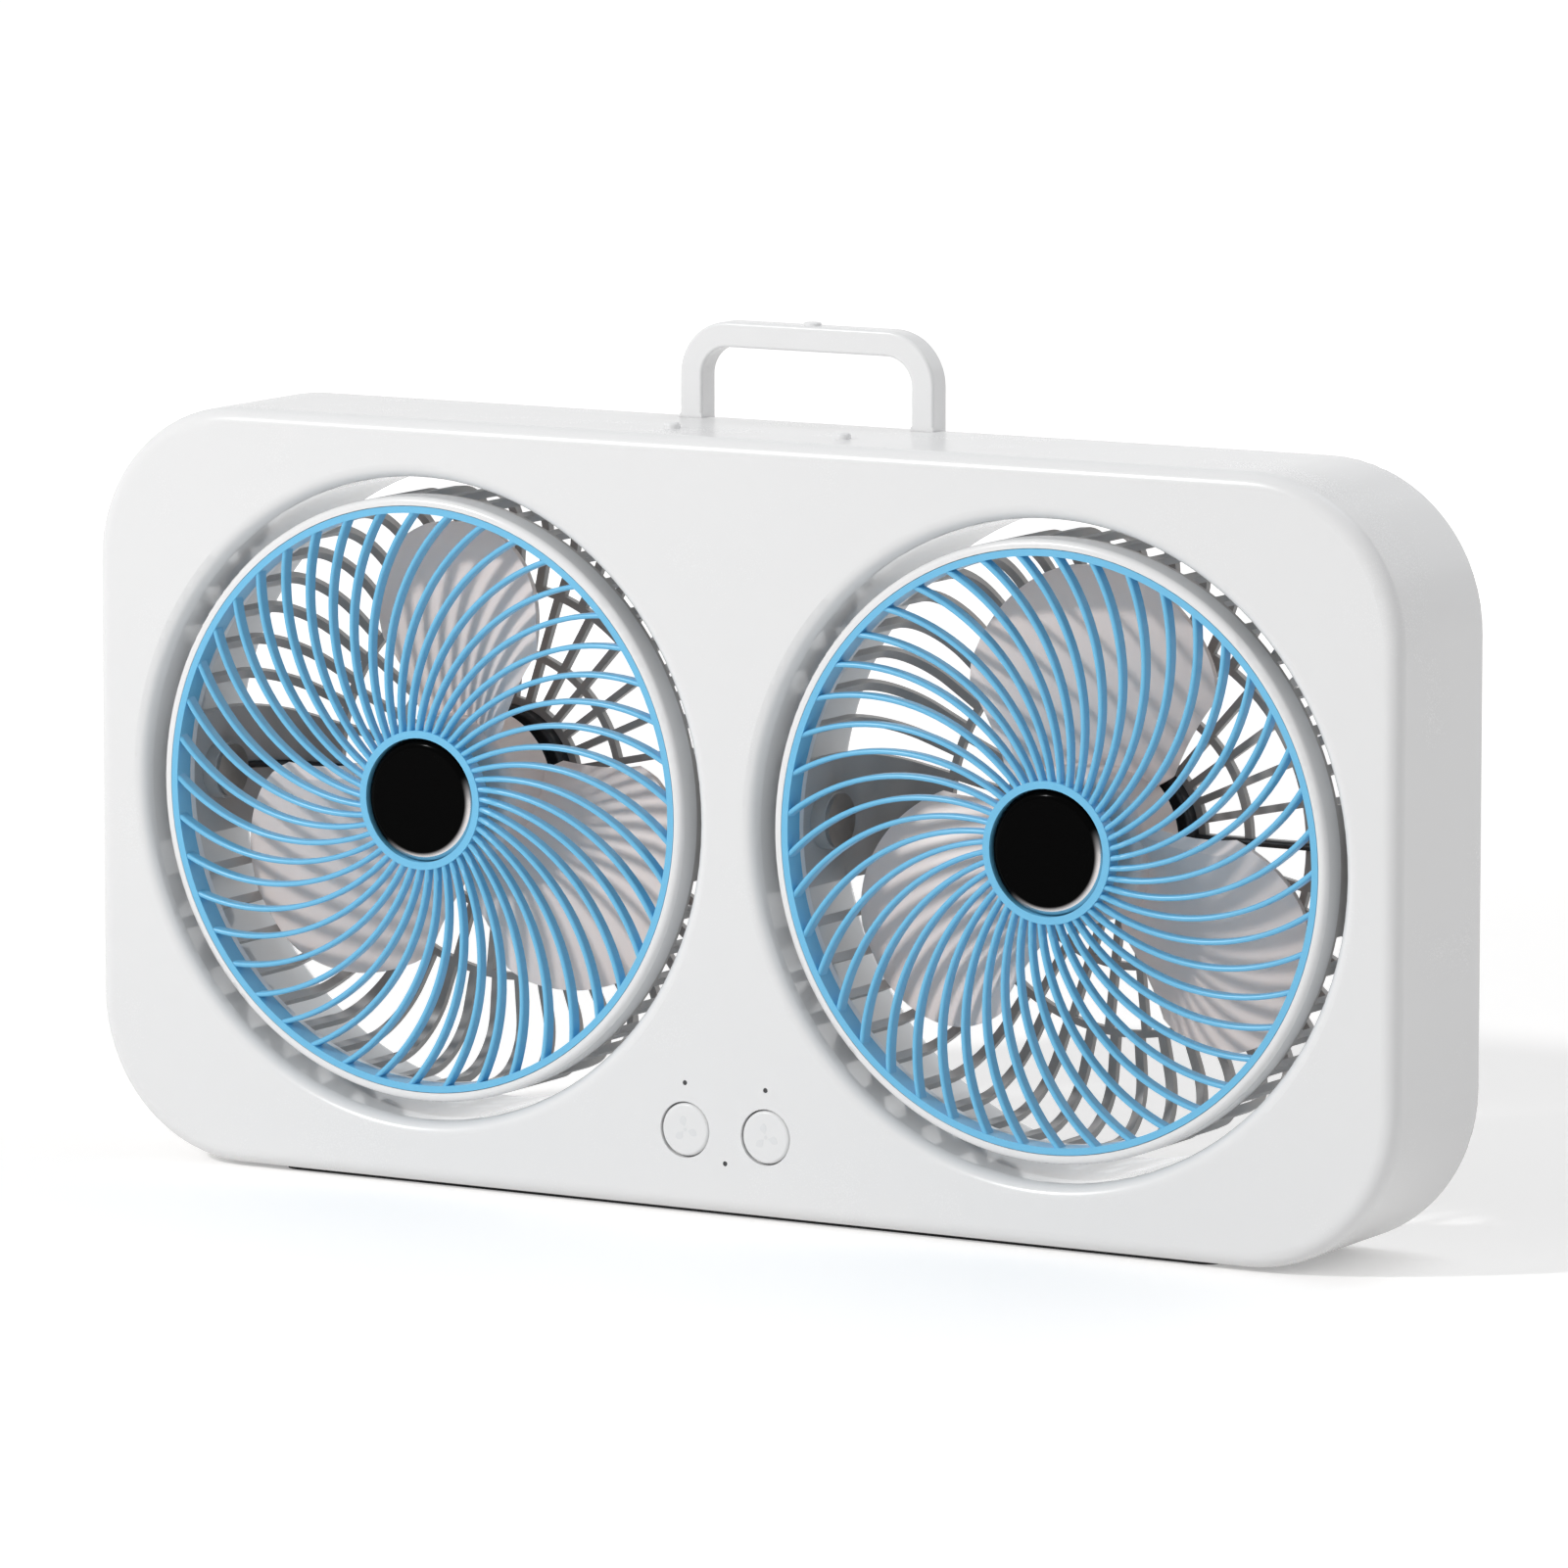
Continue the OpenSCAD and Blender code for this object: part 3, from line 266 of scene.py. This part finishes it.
class Finish(Nodes):
    """A material with one Principled BSDF, whose uniform values are set on the shader."""

    def __init__(self, name, **uniform):
        self.material = bpy.data.materials.new(name)
        self.material.use_nodes = True
        super().__init__(self.material.node_tree)
        self.shader = self.add("ShaderNodeBsdfPrincipled", {}, **uniform)
        self.add("ShaderNodeOutputMaterial", {}, self.shader)
        self.place = self.add("ShaderNodeTexCoord", {}, out="Object")
        self.tone = self.rough = None
        self.heights = []

    def noise(self, size, detail=2.0, roughness=0.5, place=None):
        """Noise from 0 to 1 whose blobs are about size across, in metres."""
        return self.add(
            "ShaderNodeTexNoise", {}, Vector=place or self.place, Scale=1 / size, Detail=detail,
            Roughness=roughness,
        )

    def stretched(self, x, y, z):
        """Object coordinates scaled along each axis."""
        return self.add("ShaderNodeVectorMath", {"operation": "MULTIPLY"}, self.place, (x, y, z))

    def mix(self, factor, a, b):
        """Colour a where factor is 0 and b where it is 1."""
        return self.add("ShaderNodeMix", {"data_type": "RGBA"}, factor, out=2, sockets={6: a, 7: b})

    def split(self):
        """The x, y and z of the place, as three terms."""
        return self.outputs("ShaderNodeSeparateXYZ", self.place).values()

    def feed(self, socket, term):
        self.fill(self.shader.socket.node, socket, term)

    def raise_by(self, height, distance):
        """Adds relief: height from 0 to 1 stands distance metres tall."""
        self.heights.append((height, distance))

    def from_axis(self, node):
        """Distance from a head's own axis, alike on both heads."""
        x, _y, z = self.split()
        centre = middle(node)
        return ((abs(x) - abs(centre.x)) ** 2 + (z - centre.z) ** 2) ** 0.5

    def done(self):
        """Links the gloss and the relief, and gives the material."""
        if self.rough is not None:
            self.feed("Roughness", self.rough.clamp())
        below = {}
        for height, distance in self.heights:
            bump = self.add("ShaderNodeBump", {}, Strength=1.0, Distance=distance, Height=height, **below)
            below = {"Normal": bump}
        if below:
            self.feed("Normal", below["Normal"])
        return self.material


def tint(rgb, factor):
    """A colour made lighter or darker."""
    return tuple(min(1.0, part * factor) for part in rgb)


def moulded(name, rgb, rough=0.3, grain=0.35 * MM, relief=0.006 * MM, cloud=0.03, **uniform):
    """Injection-moulded plastic: faint clouding, fine grain, and patches with more and less gloss."""
    finish = Finish(name, **uniform)
    clouds = finish.noise(size=38 * MM, detail=3.0)
    flow = finish.noise(size=6 * MM, detail=4.0, roughness=0.6)
    patches = (clouds * 0.7 + flow * 0.3).clamp()
    finish.tone = finish.mix(patches, tint(rgb, 1 - cloud), tint(rgb, 1 + cloud))
    finish.feed("Base Color", finish.tone)
    fine = finish.noise(size=grain)
    wipes = finish.noise(size=24 * MM)
    wipe_dullness, grain_dullness = 0.025, 0.03
    finish.rough = wipes * wipe_dullness + fine * grain_dullness + (rough - grain_dullness)
    finish.raise_by(fine, relief)
    return finish


def turned_metal(name, rgb, rough=0.3, scratch=0.25 * MM):
    """Plated or turned metal: fine lines, dull spots and a slight change of tone."""
    finish = Finish(name, Metallic=1.0)
    lines = finish.noise(size=scratch, detail=3.0, place=finish.stretched(1, 0.12, 1))
    spots = finish.noise(size=2.5 * MM, detail=3.0)
    line_dullness, spot_dullness = 0.16, 0.1
    dullness = lines * line_dullness + spots * spot_dullness
    finish.feed("Base Color", finish.mix(spots, tint(rgb, 0.88), tint(rgb, 1.06)))
    finish.rough = dullness + (rough - (line_dullness + spot_dullness) / 2)
    finish.raise_by(lines, 0.006 * MM)
    return finish


def soft_rubber(name, rgb):
    """Dull rubber with a dusty bloom and a fine pebbled face."""
    finish = Finish(name, Specular_IOR_Level=0.3)
    bloom = finish.noise(size=5 * MM, detail=4.0, roughness=0.6)
    pebbles = finish.noise(size=0.4 * MM)
    finish.feed("Base Color", finish.mix(bloom, tint(rgb, 0.8), tint(rgb, 1.5)))
    finish.rough = bloom * 0.12 + pebbles * 0.08 + 0.68
    finish.raise_by(pebbles, 0.02 * MM)
    return finish


# Helpers for objects


def dress(names, finish):
    """Gives CAD nodes a finish, in every material slot that they have."""
    material = finish.done()
    for name in names:
        for slot in NODES[name].material_slots:
            slot.material = material


def heads(*pieces):
    """Node names of pieces on both heads."""
    return [f"{side}_{piece}" for side in SIDES for piece in pieces]


def piece(name, bm, material, body, slot):
    """Turns a bmesh into a piece of the object that rides on a body."""
    mesh = bpy.data.meshes.new(name)
    bm.to_mesh(mesh)
    bm.free()
    mesh.materials.append(material)
    thing = bpy.data.objects.new(name, mesh)
    bpy.context.scene.collection.objects.link(thing)
    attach(thing, body)


def plate(bm, outline, thickness):
    """A thin plate over an outline of radii and angles in XZ: its back lies at y = 0."""
    corners = [(r * math.cos(turn), r * math.sin(turn)) for r, turn in outline]
    front = [bm.verts.new((x, -thickness, z)) for x, z in corners]
    back = [bm.verts.new((x, 0, z)) for x, z in corners]
    bm.faces.new(front)
    bm.faces.new(back[::-1])
    for i in range(len(corners)):
        before = i - 1
        bm.faces.new((front[i], front[before], back[before], back[i]))


class Looks:
    """What every operator shares: undo and the panel's values."""

    bl_options = {"REGISTER", "UNDO"}

    @property
    def colours(self):
        return bpy.context.scene.fan_colours

    @property
    def sizes(self):
        return bpy.context.scene.fan_sizes


class FAN_OT_casing(Looks, Operator):
    """Finish the casing, the handle and the pegs"""

    bl_idname = "fan.casing"
    bl_label = "Casing and handle"

    def execute(self, context):
        finish = moulded(
            "case_white", self.colours.case, rough=0.27, grain=self.sizes.grain, relief=0.0015 * MM,
            cloud=0.005, Specular_IOR_Level=0.4, Coat_Roughness=0.04,
        )
        ring_r = radius("left_front_ring")
        outside = finish.from_axis("left_front_ring").smooth(ring_r + WALL_START, ring_r + WALL_END)
        # Inside the openings the casing colour gives way to the opening wall colour, which is painted shade
        # with a painted bluish reflection; the extra gloss and coat there are real.
        shaded_wall = 1 - outside
        polish, coat = 0.6, 0.35
        finish.feed("Base Color", finish.mix(shaded_wall, finish.tone, self.colours.shaded_wall))
        finish.rough *= 1 - shaded_wall * polish
        finish.feed("Coat Weight", shaded_wall * coat)
        dress(["front_shell", "rear_cover", "carry_handle", "top_pegs"], finish)
        return {"FINISHED"}


class FAN_OT_controls(Looks, Operator):
    """Finish the buttons and the indicator dots, and print a fan sign on each button"""

    bl_idname = "fan.controls"
    bl_label = "Buttons and dots"

    def execute(self, context):
        cap = moulded(
            "button_white", self.colours.case, rough=0.33, grain=self.sizes.grain, relief=0.004 * MM,
            cloud=0.01,
        )
        dress(heads("button"), cap)
        dress(["light_pipes"], self.lens())
        ink = moulded("sign_ink", self.colours.sign, rough=0.5, grain=0.12 * MM, relief=0.004 * MM).done()
        for side in SIDES:
            self.print_sign(side, ink)
        return {"FINISHED"}

    def lens(self):
        """Dark clear plastic of the indicator dots."""
        lens = Finish("lens_dark", Roughness=0.12, Coat_Weight=0.6, Coat_Roughness=0.05)
        depth = lens.noise(size=0.5 * MM)
        lens.feed("Base Color", lens.mix(depth, (0.006, 0.006, 0.007), (0.022, 0.023, 0.026)))
        return lens

    def print_sign(self, side, ink):
        """A generic fan sign: curved blades round a small hub."""
        sizes = self.sizes
        reach = sizes.sign_d / 2
        bm = bmesh.new()
        for blade in range(sizes.sign_blades):
            turn = math.tau * blade / sizes.sign_blades + SIGN_TURN
            plate(bm, self.sign_blade(reach, turn), sizes.print_t)
        hub = [(reach * SIGN_HUB, math.tau * i / SIGN_HUB_POINTS) for i in range(SIGN_HUB_POINTS)]
        plate(bm, hub, sizes.print_t)
        bmesh.ops.recalc_face_normals(bm, faces=bm.faces)
        button = f"{side}_button"
        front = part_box(button)[0][1]
        centre = middle(button)
        bm.transform(Matrix.Translation((centre.x, front, centre.z)))
        piece(f"{button}_sign", bm, ink, button, "case_white")

    def sign_blade(self, reach, turn):
        """One blade's outline as radii and angles: out along its leading edge, back on the other."""
        steps = [i / SIGN_STEPS for i in range(SIGN_STEPS + 1)]
        out = [(t, LEADING_EDGE + LEADING_BOW * math.sin(math.pi * t) ** LEADING_FULLNESS) for t in steps]
        back = [(t, TRAILING_EDGE - TRAILING_BOW * math.sin(math.pi * t)) for t in steps[-2:0:-1]]
        return [(reach * (SIGN_ROOT + (1 - SIGN_ROOT) * t), turn + bow) for t, bow in out + back]


class FAN_OT_heads(Looks, Operator):
    """Finish the front rings, spiral grilles, hub caps and slotted guards"""

    bl_idname = "fan.heads"
    bl_label = "Heads"

    def execute(self, context):
        colours = self.colours
        ring = moulded("ring_white", tint(colours.case, 1.02), rough=0.22, relief=0.002 * MM, cloud=0.01)
        dress(heads("front_ring"), ring)
        dress(heads("grille"), moulded("grille_blue", colours.grille, relief=0.004 * MM, cloud=0.05))
        dress(heads("guard"), self.guard(colours.guard))
        dress(heads("hub_cap"), self.hub_cap(colours))
        return {"FINISHED"}

    def guard(self, rgb):
        """Grey plastic with painted shade that makes its slotted floor darker than its side."""
        guard = moulded("guard_grey", rgb, rough=0.36, cloud=0.04)
        _x, y, _z = guard.split()
        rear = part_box("left_guard")[1][1]
        # Painted shade: the slotted floor at the back is darkened to two thirds of the guard's grey.
        floor = y.smooth(rear - GUARD_SHADE_START, rear - GUARD_SHADE_FULL)
        guard.feed("Base Color", guard.mix(floor, guard.tone, tint(rgb, 0.66)))
        return guard

    def hub_cap(self, colours):
        """Gloss black with a little dust, and a painted highlight on the rim at the lower right, where the
        rim is also made metallic.
        """
        cap = Finish("cap_black", Specular_IOR_Level=0.02)
        haze = cap.noise(size=14 * MM, detail=3.0)
        dust = cap.noise(size=0.5 * MM).smooth(0.72, 0.8)
        black = cap.mix(dust, colours.cap, tint(colours.cap, 2.5))
        cap.rough = haze * 0.06 + dust * 0.1 + 0.1
        cap_r = radius("left_hub_cap")
        rim = cap.from_axis("left_hub_cap").smooth(cap_r - CAP_RIM_START, cap_r - CAP_RIM_END)
        # Painted highlight: the rim's lower right gets a light colour and turns metallic, standing in for
        # light that catches the bevel.
        x, _y, z = cap.split()
        centre = middle("right_hub_cap")
        to_right = x - x.maths("SIGN") * centre.x
        to_highlight = to_right * HIGHLIGHT_RIGHT - (z - centre.z) * HIGHLIGHT_DOWN
        painted_highlight = rim * to_highlight.smooth(HIGHLIGHT_START, HIGHLIGHT_END)
        cap.feed("Base Color", cap.mix(painted_highlight, black, colours.cap_highlight))
        cap.feed("Metallic", painted_highlight)
        return cap


class FAN_OT_rotors(Looks, Operator):
    """Finish the impellers, motors and shafts"""

    bl_idname = "fan.rotors"
    bl_label = "Impellers and motors"

    def execute(self, context):
        blades = moulded(
            "impeller_smoke", self.colours.impeller, rough=0.38, relief=0.004 * MM, cloud=0.04,
            Subsurface_Weight=0.25, Subsurface_Scale=4 * MM, Subsurface_Radius=(1, 0.9, 0.85),
        )
        dress(heads("impeller"), blades)
        dress(heads("motor"), self.motor_can(self.colours.motor))
        dress(heads("motor_shaft"), turned_metal("shaft_steel", SHAFT_STEEL, rough=0.22))
        return {"FINISHED"}

    def motor_can(self, rgb):
        """Black coating with a fine speckle over steel."""
        can = Finish("motor_black", Metallic=0.2)
        speckle = can.noise(size=0.6 * MM, detail=3.0)
        can.feed("Base Color", can.mix(speckle, tint(rgb, 0.7), tint(rgb, 1.6)))
        can.rough = speckle * 0.2 + 0.32
        can.raise_by(speckle, 0.01 * MM)
        return can


class FAN_OT_pivots(Looks, Operator):
    """Finish the pivot sleeves, bushes, washers and clips"""

    bl_idname = "fan.pivots"
    bl_label = "Pivots"

    def execute(self, context):
        dress(heads("pivots", "pivot_clips"), turned_metal("pivot_steel", PIVOT_STEEL, rough=0.36))
        dress(["pivot_bushes"], moulded("bush_black", (0.03, 0.03, 0.03), rough=0.45, relief=0.01 * MM))
        dress(heads("pivot_washers"), soft_rubber("washer_rubber", WASHER_RUBBER))
        return {"FINISHED"}


class FAN_OT_hardware(Looks, Operator):
    """Finish the screws and the rubber feet"""

    bl_idname = "fan.hardware"
    bl_label = "Screws and feet"

    def execute(self, context):
        screws = turned_metal("screw_zinc", SCREW_ZINC, rough=0.34, scratch=0.18 * MM)
        dress(["shell_screws", "handle_screws"] + heads("motor_screws"), screws)
        feet = soft_rubber("foot_rubber", FOOT_RUBBER)
        x, _y, _z = feet.split()
        feet.raise_by(x.waves(FOOT_RIB_PITCH).smooth(-0.4, 0.6), 0.12 * MM)
        dress(["rubber_feet"], feet)
        return {"FINISHED"}


class FAN_OT_inside(Looks, Operator):
    """Finish the boards, switches, cell, charging port and leads"""

    bl_idname = "fan.inside"
    bl_label = "Electrics"

    def execute(self, context):
        dress(["control_board", "port_board"], self.board())
        dress(["button_switches"], moulded("switch_black", (0.02, 0.02, 0.021), rough=0.42))
        dress(["battery_clips", "charge_port"], turned_metal("nickel_sheet", NICKEL, rough=0.2))
        dress(["battery_cell"], self.cell())
        lead = moulded("lead_black", (0.018, 0.018, 0.02), rough=0.45, relief=0.004 * MM, cloud=0.08)
        dress(["casing_leads"] + heads("motor_lead"), lead)
        return {"FINISHED"}

    def board(self):
        """Green lacquer with slanting copper tracks under it, in patches."""
        board = Finish("board_green", Coat_Weight=0.3)
        x, _y, z = board.split()
        tracks = abs((x + z).waves(TRACK_PITCH))
        patches = board.noise(size=4 * MM, detail=1.0).smooth(0.5, 0.54)
        copper = (tracks > 0.72) * patches
        board.feed("Base Color", board.mix(copper, (0.008, 0.075, 0.03), (0.02, 0.16, 0.06)))
        board.rough = board.noise(size=1.2 * MM, detail=3.0) * 0.2 + 0.22
        board.raise_by(copper, 0.03 * MM)
        return board

    def cell(self):
        """Blue shrink wrap with fine wrinkles along the cell, and bare metal at both ends."""
        cell = Finish("cell_wrap", Coat_Weight=0.4, Coat_Roughness=0.15)
        x, _y, _z = cell.split()
        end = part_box("battery_cell")[1][0]
        metal = abs(x).smooth(end - CELL_WRAP_END, end - CELL_METAL_START)
        wrinkles = cell.noise(size=3 * MM, detail=4.0, roughness=0.6, place=cell.stretched(0.2, 1, 1))
        wrap = cell.mix(wrinkles, (0.02, 0.12, 0.33), (0.035, 0.17, 0.42))
        cell.feed("Base Color", cell.mix(metal, wrap, CELL_STEEL))
        cell.feed("Metallic", metal)
        cell.rough = wrinkles * 0.2 + 0.25
        cell.raise_by(wrinkles, 0.05 * MM)
        return cell


class FAN_OT_stage(Looks, Operator):
    """Set up the floor, backdrop, soft lights and camera"""

    bl_idname = "fan.stage"
    bl_label = "Studio"

    def execute(self, context):
        self.camera(context)
        self.floor(context)
        self.world(context)
        self.lamp("key", place=(-1.1, -1.75, 1.35), size=0.15, power=27.0)
        self.lamp("side", place=(2.0, 0.1, 0.9), size=1.4, power=1.5)
        self.lamp("top", place=(0.35, 0.25, 0.95), size=0.5, power=1.2, tone=(0.92, 0.96, 1.0))
        self.lamp("back", place=(0.7, 2.3, 1.4), size=1.6, power=3.5)
        context.scene.view_settings.view_transform = "Standard"
        return {"FINISHED"}

    def camera(self, context):
        data = bpy.data.cameras.new("camera")
        data.sensor_width = SENSOR_W
        data.lens = CAMERA_LENS
        data.clip_start, data.clip_end = CLIP_NEAR, CLIP_FAR
        camera = bpy.data.objects.new("camera", data)
        camera.location = CAMERA_PLACE
        camera.rotation_euler = (math.radians(90 - CAMERA_DOWN), 0, math.radians(CAMERA_TURN))
        context.scene.collection.objects.link(camera)
        context.scene.camera = camera

    def floor(self, context):
        """A floor that curves up far behind the fan, with a soft shadow on it."""
        profile = [(-FLOOR_REACH, 0.0), (BEND_START, 0.0)]
        for i in range(1, BEND_STEPS + 1):
            turn = math.pi / 2 * i / BEND_STEPS
            profile.append((BEND_START + BEND_R * math.sin(turn), BEND_R * (1 - math.cos(turn))))
        profile.append((BEND_START + BEND_R, WALL_TOP))
        bm = bmesh.new()
        rows = [[bm.verts.new((FLOOR_REACH * share, y, z)) for y, z in profile] for share in FLOOR_SHARES]
        for left, right in zip(rows, rows[1:]):
            for i in range(len(profile) - 1):
                bm.faces.new((left[i], right[i], right[i + 1], left[i + 1]))
        bmesh.ops.recalc_face_normals(bm, faces=bm.faces)
        mesh = bpy.data.meshes.new("studio_floor")
        bm.to_mesh(mesh)
        bm.free()
        for face in mesh.polygons:
            face.use_smooth = True
        mesh.materials.append(self.floor_paint())
        floor = bpy.data.objects.new("studio_floor", mesh)
        context.scene.collection.objects.link(floor)

    def floor_paint(self):
        """Faintly mottled pale paint, with a glow that only seen rays meet and that grows with distance."""
        finish = Finish("studio_white", Roughness=0.75, Emission_Strength=1.0)
        mottle = finish.noise(size=60 * MM, detail=3.0)
        finish.feed("Base Color", finish.mix(mottle, (0.89, 0.88, 0.87), (0.91, 0.9, 0.89)))
        away = finish.add("ShaderNodeVectorMath", {"operation": "LENGTH"}, finish.place, out="Value")
        spread = away.smooth(GLOW_START, GLOW_END) * (FAR_GLOW - NEAR_GLOW) + NEAR_GLOW
        finish.feed("Emission Color", finish.mix(finish.seen() * spread, (0, 0, 0), (1, 1, 1)))
        return finish.done()

    def world(self, context):
        """Soft even light, and plain white for seen rays."""
        world = bpy.data.worlds.new("studio_sky")
        context.scene.world = world
        world.use_nodes = True
        sky = Nodes(world.node_tree)
        soft = sky.add("ShaderNodeBackground", {}, SKY_TONE, SKY_STRENGTH)
        white = sky.add("ShaderNodeBackground", {}, (1, 1, 1), 1.0)
        sky.add("ShaderNodeOutputWorld", {}, sky.add("ShaderNodeMixShader", {}, sky.seen(), soft, white))

    def lamp(self, name, place, size, power, tone=(1, 1, 1)):
        """A round soft light that is aimed at the middle of the casing."""
        data = bpy.data.lights.new(name, "AREA")
        data.shape = "DISK"
        data.size = size
        data.energy = power
        data.color = tone
        lamp = bpy.data.objects.new(name, data)
        lamp.location = place
        lamp.rotation_euler = (LAMP_AIM - Vector(place)).to_track_quat("-Z", "Y").to_euler()
        bpy.context.scene.collection.objects.link(lamp)


class FAN_PT_panel(Panel):
    """Lists the sizes, the colours and the pieces of the fan"""

    bl_idname = "FAN_PT_panel"
    bl_label = "Desk fan"
    bl_space_type = "VIEW_3D"
    bl_region_type = "UI"
    bl_category = "Desk fan"

    def draw(self, context):
        for group in (context.scene.fan_sizes, context.scene.fan_colours):
            for key in group.__annotations__:
                self.layout.prop(group, key)
        for step in STEPS:
            self.layout.operator(step.bl_idname)


STEPS = (
    FAN_OT_casing, FAN_OT_controls, FAN_OT_heads, FAN_OT_rotors, FAN_OT_pivots, FAN_OT_hardware,
    FAN_OT_inside, FAN_OT_stage,
)
CLASSES = (FanSizes, FanColours) + STEPS + (FAN_PT_panel,)


def register():
    for cls in CLASSES:
        bpy.utils.register_class(cls)
    bpy.types.Scene.fan_sizes = PointerProperty(type=FanSizes)
    bpy.types.Scene.fan_colours = PointerProperty(type=FanColours)


def unregister():
    del bpy.types.Scene.fan_colours
    del bpy.types.Scene.fan_sizes
    for cls in reversed(CLASSES):
        bpy.utils.unregister_class(cls)


def main():
    register()
    for step in STEPS:
        group, name = step.bl_idname.split(".")
        getattr(getattr(bpy.ops, group), name)()


if __name__ == "__main__":
    main()
